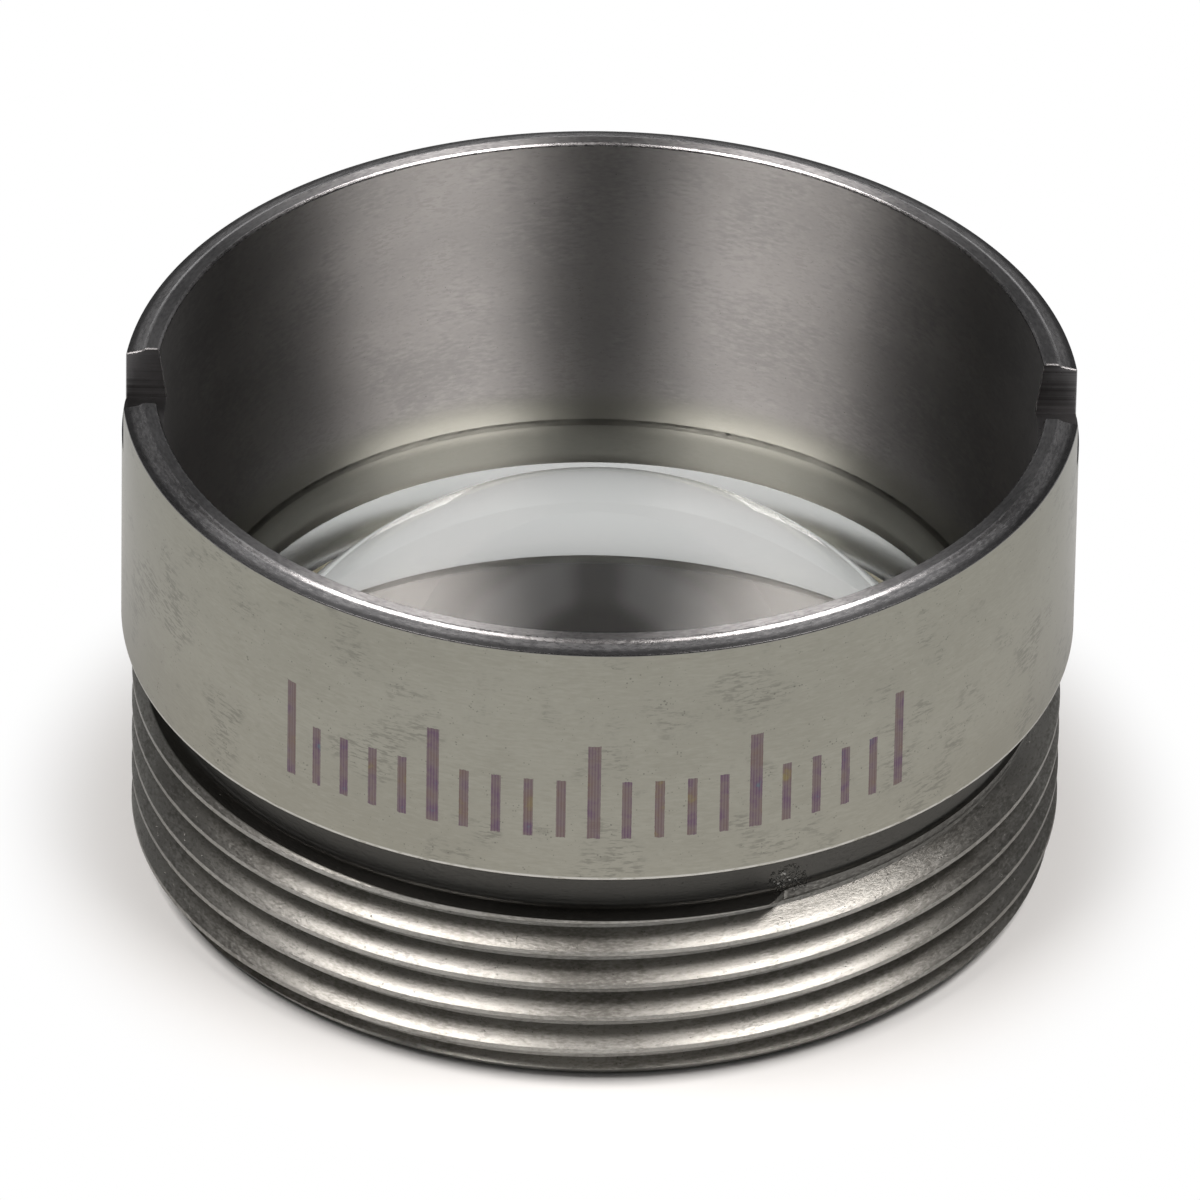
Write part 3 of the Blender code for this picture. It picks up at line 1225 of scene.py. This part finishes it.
    def column_lines(self) -> list[tuple[int, int, float, bool, bool]]:
        """The lines that run up the housing, in order round it.

        Returns:
            For each its step round the axis, the side of the slot wall that it follows (nought
            where it follows none), its distance past the wall, and whether it is cut down to the
            slot's floor, and whether it is drawn in by the edge break.
        """
        quarter = self.columns // 4
        wall = round(math.degrees(math.asin(self.slot_half / self.band_radius)) * quarter / 90)
        lines = []
        for step in range(self.columns):
            near = min(step % (2 * quarter), 2 * quarter - step % (2 * quarter))
            if near != wall:
                lines.append((step, 0, 0.0, near < wall, False))
                continue
            rising = step % (2 * quarter) == wall
            group = [
                (step, 1, 0.0, True, True),
                (step, 1, 0.0, False, True),
                (step, 1, self.slot_break, False, False),
            ]
            lines.extend(group if rising else group[::-1])
        return lines

    def body_mesh(self) -> bpy.types.Mesh:
        """Mesh of all but the thread, with its two slots.

        Returns:
            The mesh, open where the thread joins it.
        """
        section = np.array(self.section())
        inset = self.inset_section(section)
        lines = self.column_lines()
        rows = len(section)
        places = np.zeros((len(lines), rows, 3))
        upper = section[:, 1] > self.shoulder + 0.5 * self.band_break
        upper &= section[:, 0] > self.seat_bore + 0.1 * MM
        for index, (step, wall, past, cut, drawn) in enumerate(lines):
            points = inset if drawn else section
            radius = points[:, 0].copy()
            height = points[:, 1].copy()
            angle = np.full(rows, math.tau * step / self.columns)
            if wall:
                lean = np.arcsin((self.slot_half + past) / radius[upper])
                angle[upper] = self.beside_slot(angle[0], lean)
            if drawn:
                radius[~upper] = section[~upper, 0]
                height[~upper] = section[~upper, 1]
            if cut:
                over = section[:, 1] > self.slot_floor
                radius[over] = np.minimum.accumulate(radius[over])
                height = np.minimum(height, self.slot_floor)
            places[index] = np.stack(
                [radius * np.cos(angle), radius * np.sin(angle), height], axis=-1
            )
        return self.stitch("housing_body", places)

    @staticmethod
    def beside_slot(angle: float, lean: np.ndarray) -> np.ndarray:
        """Angles of a line that keeps a fixed distance from the slots' middle plane.

        Args:
            angle: The line's angle where it follows the axis.
            lean: The angle's size from the slot's middle, row by row.

        Returns:
            The angles.
        """
        middle = math.pi * round(angle / math.pi)
        return middle + lean * (1.0 if angle > middle else -1.0)

    def inset_section(self, section: np.ndarray) -> np.ndarray:
        """The section drawn in by the slot's edge break where the slot's walls meet it.

        Args:
            section: The section's points.

        Returns:
            The points drawn in.
        """
        inset = section.copy()
        above = section[:, 1] > self.slot_floor - 1.0e-6
        ahead = np.roll(section, -1, axis=0) - np.roll(section, 1, axis=0)
        length = np.linalg.norm(ahead, axis=1, keepdims=True)
        inward = np.stack([-ahead[:, 1], ahead[:, 0]], axis=-1) / length
        inset[above] += inward[above] * self.slot_break
        return inset

    @staticmethod
    def stitch(name: str, places: np.ndarray) -> bpy.types.Mesh:
        """Join a closed ring of lines with quads.

        Args:
            name: The mesh's name.
            places: Line by row by coordinate.

        Returns:
            The mesh.
        """
        lines, rows, _ = places.shape
        first = np.arange(lines * rows).reshape(lines, rows)
        second = np.roll(first, -1, axis=0)
        quads = np.stack(
            [first[:, :-1], second[:, :-1], second[:, 1:], first[:, 1:]], axis=-1
        ).reshape(-1, 4)
        mesh = bpy.data.meshes.new(name)
        mesh.from_pydata(places.reshape(-1, 3).tolist(), [], quads.tolist())
        return mesh

    def thread_mesh(self, material: bpy.types.Material) -> bpy.types.Mesh:
        """Mesh of the threaded outside.

        Args:
            material: Its finish.

        Returns:
            The mesh.
        """
        turns = math.ceil(self.thread_length / self.pitch) + 2
        seed = line_mesh("thread_seed", [(0.0, 0.0, 0.0)])
        return ThreadRecipe().run("housing_thread", seed, {
            "Columns": self.columns,
            "Helix Rows": turns * self.rows_a_pitch + 1,
            "Collar Rows": self.collar_rows,
            "Rows A Pitch": self.rows_a_pitch,
            "Pitch": self.pitch,
            "Groove Height": self.groove_height - self.pitch,
            "Length": self.thread_length,
            "Crest Radius": self.crest_radius,
            "Root Radius": self.root_radius,
            "Root Half": self.root_half,
            "Flank Slope": 1.0 / math.tan(self.flank_angle),
            "Chamfer": self.end_chamfer,
            "Relief Radius": self.relief_radius,
            "Corner Radius": self.corner_radius,
            "Last Groove": self.last_groove,
            "Ridge Radius": self.ridge_radius,
            "Ridge End": self.ridge_end,
            "Ridge Taper": self.ridge_taper,
            "Material": material,
        })

    def zone_of(self, face: bpy.types.MeshPolygon) -> Zone:
        """The finish that a face has.

        Args:
            face: The face.

        Returns:
            Its zone.
        """
        place, hair = face.center, 0.001 * MM
        radius = math.hypot(place.x, place.y)
        if radius > self.relief_radius - 10.0 * hair and place.z < self.shoulder - hair:
            return Zone.THREAD
        past_wall = abs(place.y) - self.slot_half
        on_wall = abs(past_wall) < self.slot_break + hair and abs(face.normal.y) > 0.6
        on_floor = past_wall < 0.0 and abs(place.z - self.slot_floor) < hair
        if (on_wall or on_floor) and place.z > self.slot_floor - hair:
            return Zone.SLOT
        if radius < self.cup_mouth - 2.0 * hair and place.z > hair:
            return Zone.CUP
        if place.z > self.rim_height - hair:
            return Zone.LAND
        if place.z > self.rim_height - self.rim_bevel[1] - hair:
            return Zone.RIM
        return Zone.BAND

    def build(self, materials: dict[Zone, bpy.types.Material]) -> bpy.types.Object:
        """Build the housing.

        Args:
            materials: A finish for each zone.

        Returns:
            The piece.
        """
        work = bmesh.new()
        work.from_mesh(self.body_mesh())
        work.from_mesh(self.thread_mesh(materials[Zone.THREAD]))
        mesh = bpy.data.meshes.new("steel_housing")
        work.to_mesh(mesh)
        work.free()
        tidy_mesh(mesh)
        mesh.materials.clear()
        for zone in Zone:
            mesh.materials.append(materials[zone])
        for face in mesh.polygons:
            face.material_index = self.zone_of(face).value
        return add_piece("steel_housing", mesh, "housing")


# The lens and its adhesive


@dataclass
class Lens:
    """The moulded glass asphere, dome upwards on the ledge.

    Attributes:
        columns: Steps round the axis.
        stand_off: The film of air under the lens, which keeps glass and steel apart.
        small_round: The rounding of its edges.
        corner_steps: Faces across a rounding.
    """

    columns: int = 256
    radius: float = 4.97 * MM
    dome_edge: float = 4.25 * MM
    dome_radius: float = 4.58 * MM
    dome_conic: float = -0.55
    hollow_radius: float = 52.0 * MM
    hollow_edge: float = 4.45 * MM
    thickness: float = 1.94 * MM
    edge_break: float = 0.06 * MM
    bevel: float = 0.22 * MM
    foot: float = 0.40 * MM
    stand_off: float = 0.002 * MM
    dome_rings: int = 56
    hollow_rings: int = 24
    small_round: float = 0.012 * MM
    corner_steps: int = 3

    def dome_fall(self, radius: float) -> float:
        """Fall of the dome below its vertex at a radius."""
        share = (1.0 + self.dome_conic) * (radius / self.dome_radius) ** 2
        return radius ** 2 / (self.dome_radius * (1.0 + math.sqrt(1.0 - share)))

    def hollow_fall(self, radius: float) -> float:
        """Fall of the hollow below its centre at a radius."""
        return self.hollow_radius - math.sqrt(self.hollow_radius ** 2 - radius ** 2)

    def section(self) -> list[tuple[float, float, float]]:
        """Section from the dome's vertex round to the centre of the underside.

        Returns:
            Radius, surface flag (1 dome, -1 underside) and height of each point. The lathe sags
            the flagged ones.
        """
        flange = self.foot + self.thickness
        vertex = flange + self.dome_fall(self.dome_edge)
        under = self.foot + self.stand_off
        hollow = under + self.hollow_fall(self.hollow_edge)
        step = self.dome_edge / self.dome_rings
        points = [(ring * step, 1.0, vertex) for ring in range(self.dome_rings + 1)]
        corners = [
            (self.dome_edge, flange, 0.0),
            (self.radius - self.edge_break, flange, self.small_round),
            (self.radius, flange - self.edge_break, self.small_round),
            (self.radius, self.foot + self.bevel, self.small_round),
            (self.radius - self.bevel, under, self.small_round),
            (self.hollow_edge, under, 0.0),
        ]
        flat = rounded_section(corners, self.corner_steps)[1:-1]
        points.extend((radius, 0.0, height) for radius, height in flat)
        step = self.hollow_edge / self.hollow_rings
        points.extend(
            (ring * step, -1.0, hollow) for ring in range(self.hollow_rings, -1, -1)
        )
        return points

    def build(self, lathe: LatheRecipe, material: bpy.types.Material) -> bpy.types.Object:
        """Build the lens.

        Args:
            lathe: The turning tree.
            material: Its glass.

        Returns:
            The piece.
        """
        base = line_mesh("lens_section", self.section())
        mesh = lathe.run("glass_asphere", base, {
            "Columns": self.columns,
            "Dome Curvature": 1.0 / self.dome_radius,
            "Dome Conic": self.dome_conic,
            "Hollow Curvature": 1.0 / self.hollow_radius,
            "Material": material,
        })
        return add_piece("glass_asphere", tidy_mesh(mesh), "aspheric_lens")


@dataclass
class AdhesiveBead:
    """The cured ring in the corner under the lens bevel."""

    columns: int = 192
    wall: float = 4.98 * MM
    floor: float = 0.41 * MM
    lens_radius: float = 4.97 * MM
    bevel: float = 0.22 * MM
    skin: float = 0.01 * MM
    meniscus_steps: int = 6
    meniscus_sag: float = 0.012 * MM

    def section(self) -> list[tuple[float, float, float]]:
        """Closed section of the bead, with a hollow face towards the bevel.

        Returns:
            Radius, flag and height of each point, the first one twice.
        """
        foot = self.lens_radius - self.bevel + self.skin * (1.0 + math.sqrt(2.0))
        side = self.wall - foot
        points = [(self.wall, 0.0, self.floor), (self.wall, 0.0, self.floor + side)]
        for step in range(1, self.meniscus_steps + 1):
            share = step / self.meniscus_steps
            sag = self.meniscus_sag * math.sin(math.pi * share)
            points.append((
                self.wall - side * share + sag, 0.0, self.floor + side * (1.0 - share) - sag
            ))
        return points + points[:1]

    def build(self, lathe: LatheRecipe, material: bpy.types.Material) -> bpy.types.Object:
        """Build the bead.

        Args:
            lathe: The turning tree.
            material: Its finish.

        Returns:
            The piece.
        """
        base = line_mesh("bead_section", self.section())
        mesh = lathe.run("adhesive_ring", base, {
            "Columns": self.columns,
            "Dome Curvature": 0.0,
            "Dome Conic": 0.0,
            "Hollow Curvature": 0.0,
            "Material": material,
        })
        return add_piece("adhesive_ring", tidy_mesh(mesh), "adhesive_bead")


# The studio


@dataclass(frozen=True)
class SoftBox:
    """A soft lamp.

    Attributes:
        name: Its name.
        azimuth: Its direction round the axis, in degrees from +X.
        elevation: Its height over the horizon, in degrees.
        distance: How far it stands from the object, in metres.
        size: Its width and height, in metres.
        level: How bright its face is, where 1 is white.
        colour: Its colour.
    """

    name: str
    azimuth: float
    elevation: float
    distance: float
    size: tuple[float, float]
    level: float
    colour: tuple[float, float, float] = (1.0, 1.0, 1.0)

    def hang(self, target: Vector) -> None:
        """Hang the lamp and turn it to a point.

        Args:
            target: The point.
        """
        lamp = bpy.data.lights.new(self.name, "AREA")
        lamp.shape = "RECTANGLE"
        lamp.size, lamp.size_y = self.size
        lamp.energy = self.level * 4.0 * self.size[0] * self.size[1]
        lamp.color = self.colour
        turn, lift = math.radians(self.azimuth), math.radians(self.elevation)
        flat = math.cos(lift)
        out = Vector((flat * math.cos(turn), flat * math.sin(turn), math.sin(lift)))
        holder = bpy.data.objects.new(self.name, lamp)
        holder.location = target + out * self.distance
        holder.rotation_euler = (-out).to_track_quat("-Z", "Y").to_euler()
        bpy.context.scene.collection.objects.link(holder)


@dataclass
class Studio:
    """Floor, world, lamps and camera.

    Attributes:
        target: The point that the camera and the lamps are turned to.
        elevation: The camera's height over the horizon.
        roll: Its turn about its own axis.
        distance: How far it stands from the target.
        focal_length: Its lens, in millimetres, as is its sensor.
        floor_gap: How far the floor lies under the part, so that the two don't meet.
        floor_grey: The floor's colour.
        near_white: Distances from the axis between which the camera sees it turn white.
        far_white: The same for what metal and glass mirror.
        world_level: Brightness of the light from all round.
        room_level: Brightness of the room that metal and glass see.
        back_level: Brightness of the wall that they see behind.
        wall_top: Heights between which that wall fades upwards, of 1 straight up.
        wall_side: How far back it sets in, of 1 straight back.
        belt_level: Brightness of the pale belt that metal mirrors from over the wall.
        belt_foot: Heights between which the belt sets in.
        belt_top: Heights between which it ends.
        belt_side: How far back it sets in.
        belt_gap: Half width of the dimmer gap in its middle.
        gap_share: How much of the belt is left in the gap.
        lens_floor_level: Brightness of the floor that is seen through glass.
        lamps: The soft boxes.
    """

    target: Vector = field(default_factory=lambda: Vector((0.031, 0.2167, 3.311)) * MM)
    elevation: float = math.radians(33.7231)
    roll: float = math.radians(0.9987)
    distance: float = 293.88 * MM
    focal_length: float = 685.51
    sensor: float = 36.0
    floor_size: float = 3.0
    floor_gap: float = 0.02 * MM
    floor_grey: float = 0.74
    near_white: Point = (5.9 * MM, 8.0 * MM)
    far_white: Point = (6.1 * MM, 15.0 * MM)
    world_level: float = 0.22
    room_level: float = 0.04
    back_level: float = 0.28
    wall_top: Point = (0.75, 0.45)
    wall_side: Point = (0.30, 0.75)
    belt_level: float = 0.95
    belt_foot: Point = (0.68, 0.80)
    belt_top: Point = (0.96, 0.90)
    belt_side: Point = (0.02, 0.25)
    belt_gap: Point = (0.04, 0.16)
    gap_share: float = 0.25
    lens_floor_level: float = 0.66
    lamps: tuple[SoftBox, ...] = (
        SoftBox("left_lamp", -154.0, 61.5, 0.25, (0.165, 0.08), 10.0, (1.0, 0.96, 0.93)),
        SoftBox("right_lamp", -26.0, 61.5, 0.25, (0.165, 0.08), 10.0, (1.0, 0.96, 0.93)),
    )

    def lay_floor(self) -> None:
        """Lay the pale floor, which shows white where no shadow falls."""
        mesh = bpy.data.meshes.new("floor")
        half = self.floor_size / 2.0
        corners = [(-half, -half, 0.0), (half, -half, 0.0), (half, half, 0.0), (-half, half, 0.0)]
        mesh.from_pydata(corners, [], [(0, 1, 2, 3)])
        floor = bpy.data.objects.new("floor", mesh)
        floor.location.z = -self.floor_gap
        bpy.context.scene.collection.objects.link(floor)
        material = bpy.data.materials.new("pale_floor")
        material.use_nodes = True
        tree = material.node_tree
        shader = tree.nodes["Principled BSDF"]
        shader.inputs["Base Color"].default_value = (*(self.floor_grey,) * 3, 1.0)
        shader.inputs["Roughness"].default_value = 0.9
        shader.inputs["Specular IOR Level"].default_value = 0.0
        path = tree.nodes.new("ShaderNodeLightPath")
        coordinate = tree.nodes.new("ShaderNodeTexCoord")
        x, y, _ = parts_of(tree, Field(tree, coordinate.outputs["Object"]))
        away = (x * x + y * y).maths("SQRT")
        near_white, far_white = away.ramp(*self.near_white), away.ramp(*self.far_white)
        camera = Field(tree, path.outputs["Is Camera Ray"])
        clear = Field(tree, path.outputs["Is Transmission Ray"])
        glossy = Field(tree, path.outputs["Is Glossy Ray"])
        white = tree.nodes.new("ShaderNodeEmission")
        dimmer = clear * (self.lens_floor_level - 1.0) + 1.0
        feed(tree, dimmer, white.inputs["Strength"])
        mix = tree.nodes.new("ShaderNodeMixShader")
        feed(tree, (camera * near_white).most(glossy * far_white).most(clear), mix.inputs[0])
        tree.links.new(shader.outputs[0], mix.inputs[1])
        tree.links.new(white.outputs[0], mix.inputs[2])
        tree.links.new(mix.outputs[0], tree.nodes["Material Output"].inputs["Surface"])
        mesh.materials.append(material)

    def light_world(self) -> None:
        """Light the world plain grey, white for the camera and a dim room for metal and glass."""
        world = bpy.data.worlds.new("studio")
        bpy.context.scene.world = world
        world.use_nodes = True
        tree = world.node_tree
        tree.nodes.clear()
        path = tree.nodes.new("ShaderNodeLightPath")
        direction = tree.nodes.new("ShaderNodeTexCoord")
        side, back, height = parts_of(tree, Field(tree, direction.outputs["Generated"]))
        side = side.maths("ABSOLUTE")
        wall = height.ramp(*self.wall_top) * back.ramp(*self.wall_side)
        wall = wall * (self.back_level - self.room_level) + self.room_level
        glossy = Field(tree, path.outputs["Is Glossy Ray"])
        belt = height.ramp(*self.belt_foot) * height.ramp(*self.belt_top)
        belt = belt * back.ramp(*self.belt_side)
        belt = belt * (side.ramp(*self.belt_gap) * (1.0 - self.gap_share) + self.gap_share)
        wall = wall + belt * glossy * (self.belt_level - self.room_level)
        seen = glossy.most(Field(tree, path.outputs["Is Transmission Ray"]))
        level = seen * (wall - self.world_level) + self.world_level
        level = level.most(Field(tree, path.outputs["Is Camera Ray"]))
        sky = tree.nodes.new("ShaderNodeBackground")
        feed(tree, level, sky.inputs["Strength"])
        out = tree.nodes.new("ShaderNodeOutputWorld")
        tree.links.new(sky.outputs[0], out.inputs["Surface"])

    def set_camera(self) -> None:
        """Stand the camera where the photograph was taken from."""
        forward = Vector((0.0, math.cos(self.elevation), -math.sin(self.elevation)))
        right = Vector((1.0, 0.0, 0.0))
        up = right.cross(forward)
        side = right * math.cos(self.roll) + up * math.sin(self.roll)
        top = up * math.cos(self.roll) - right * math.sin(self.roll)
        lens = bpy.data.cameras.new("camera")
        lens.sensor_width = self.sensor
        lens.lens = self.focal_length
        lens.clip_start = 0.01
        camera = bpy.data.objects.new("camera", lens)
        turn = Matrix((side, top, -forward)).transposed().to_4x4()
        camera.matrix_world = Matrix.Translation(self.target - forward * self.distance) @ turn
        bpy.context.scene.collection.objects.link(camera)
        bpy.context.scene.camera = camera

    def set_up(self) -> None:
        """Make the whole studio."""
        self.lay_floor()
        self.light_world()
        self.set_camera()
        for lamp in self.lamps:
            lamp.hang(self.target)
        bpy.context.scene.view_settings.view_transform = "Standard"


# The whole


def main() -> None:
    """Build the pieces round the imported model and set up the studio."""
    logging.basicConfig(level=logging.INFO, format="%(name)s %(message)s")
    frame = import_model()
    LOG.info("packed model with %d nodes", len(frame["nodes"]))
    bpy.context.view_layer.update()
    library = ShaderLibrary()
    finishes = {zone: finish.make(library) for zone, finish in steel_finishes().items()}
    Housing().build(finishes)
    lathe = LatheRecipe()
    Lens().build(lathe, GlassFinish().make(library))
    AdhesiveBead().build(lathe, AdhesiveFinish().make(library))
    Studio().set_up()


if __name__ == "__main__":
    main()
